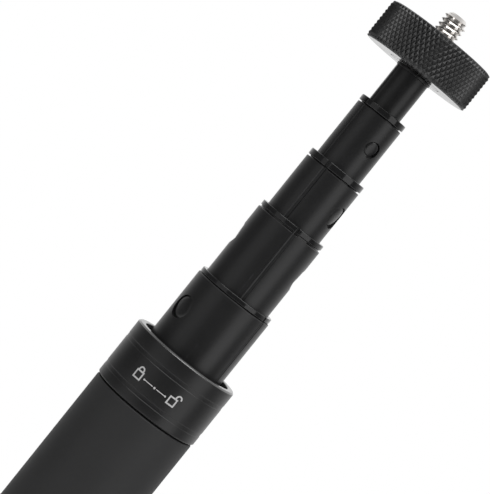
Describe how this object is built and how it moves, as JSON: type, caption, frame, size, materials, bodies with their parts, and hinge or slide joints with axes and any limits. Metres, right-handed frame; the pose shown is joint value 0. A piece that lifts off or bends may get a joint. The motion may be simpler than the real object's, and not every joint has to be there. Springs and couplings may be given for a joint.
{
  "type": "telescopic boom pole",
  "caption": "Slim telescopic boom pole with a long matte grip, a twist-lock collar, nested keyed tubes and a knurled lock wheel on a threaded tip stud.",
  "frame": {"origin": "middle of the base pad's underside", "axes": "+Z along the pole towards the threaded tip, -Y the front, where the two lock signs are"},
  "size_m": [0.0294, 0.0294, 0.4188],
  "materials": {
    "grip_rubber": "matte soft-touch",
    "pad_rubber": "matte",
    "cap_plastic": "fine grain",
    "tube_black": "black anodised, satin",
    "collar_black": "black anodised, satin",
    "wheel_black": "black anodised, knurled",
    "stainless": "bright machined thread",
    "spring_steel": "plain",
    "insert_black": "black anodised",
    "drag_felt": "felt",
    "bush_plastic": "satin moulded",
    "inner_plastic": "moulded",
    "washer_nylon": "black nylon"
  },
  "bodies": {
    "grip": {"base_pad": "pad_rubber", "base_cap": "cap_plastic", "main_tube": "tube_black", "grip_sleeve": "grip_rubber", "lock_head": "inner_plastic", "collar_ring": "spring_steel", "collet": "inner_plastic"},
    "collar": {"lock_collar": "collar_black"},
    "section_2": {"tube_2": "tube_black", "tube_2_bush": "bush_plastic", "tube_2_drag_ring": "drag_felt", "tube_2_plug": "inner_plastic", "tube_2_slider": "inner_plastic"},
    "section_3": {"tube_3": "tube_black", "tube_3_bush": "bush_plastic", "tube_3_drag_ring": "drag_felt", "tube_3_plug": "inner_plastic", "tube_3_slider": "inner_plastic"},
    "section_4": {"tube_4": "tube_black", "tube_4_bush": "bush_plastic", "tube_4_drag_ring": "drag_felt", "tube_4_plug": "inner_plastic", "tube_4_slider": "inner_plastic"},
    "section_5": {"tube_5": "tube_black", "tube_5_bush": "bush_plastic", "tube_5_drag_ring": "drag_felt", "tube_5_plug": "inner_plastic", "tube_5_slider": "inner_plastic"},
    "tip": {"rod": "tube_black", "rod_drag_ring": "drag_felt", "rod_plug": "inner_plastic", "rod_slider": "inner_plastic", "tip_insert": "insert_black", "stud": "stainless"},
    "wheel_carrier": {"wheel_washer": "washer_nylon"},
    "wheel": {"lock_wheel": "wheel_black"}
  },
  "joints": [
    {"name": "collar_twist", "type": "hinge", "parent": "grip", "child": "collar", "pos_m": [0, 0, 0.308], "axis": [0, 0, 1], "range_deg": [0, 45]},
    {"name": "section_2_slide", "type": "slide", "parent": "grip", "child": "section_2", "axis": [0, 0, 1], "range_m": [-0.0177, 0.23]},
    {"name": "section_3_slide", "type": "slide", "parent": "section_2", "child": "section_3", "axis": [0, 0, 1], "range_m": [-0.0193, 0.2395]},
    {"name": "section_4_slide", "type": "slide", "parent": "section_3", "child": "section_4", "axis": [0, 0, 1], "range_m": [-0.0146, 0.241]},
    {"name": "section_5_slide", "type": "slide", "parent": "section_4", "child": "section_5", "axis": [0, 0, 1], "range_m": [-0.0155, 0.2365]},
    {"name": "tip_slide", "type": "slide", "parent": "section_5", "child": "tip", "axis": [0, 0, 1], "range_m": [-0.0102, 0.238]},
    {"name": "wheel_lift", "type": "slide", "parent": "tip", "child": "wheel_carrier", "axis": [0, 0, 1], "range_m": [0, 0.00254]},
    {"name": "wheel_turn", "type": "hinge", "parent": "wheel_carrier", "child": "wheel", "pos_m": [0, 0, 0.4072], "axis": [0, 0, 1], "range_deg": [0, 720]}
  ],
  "couplings": [
    {"joint": "wheel_turn", "follows": "wheel_lift", "rad_per_m": 4947.4}
  ]
}
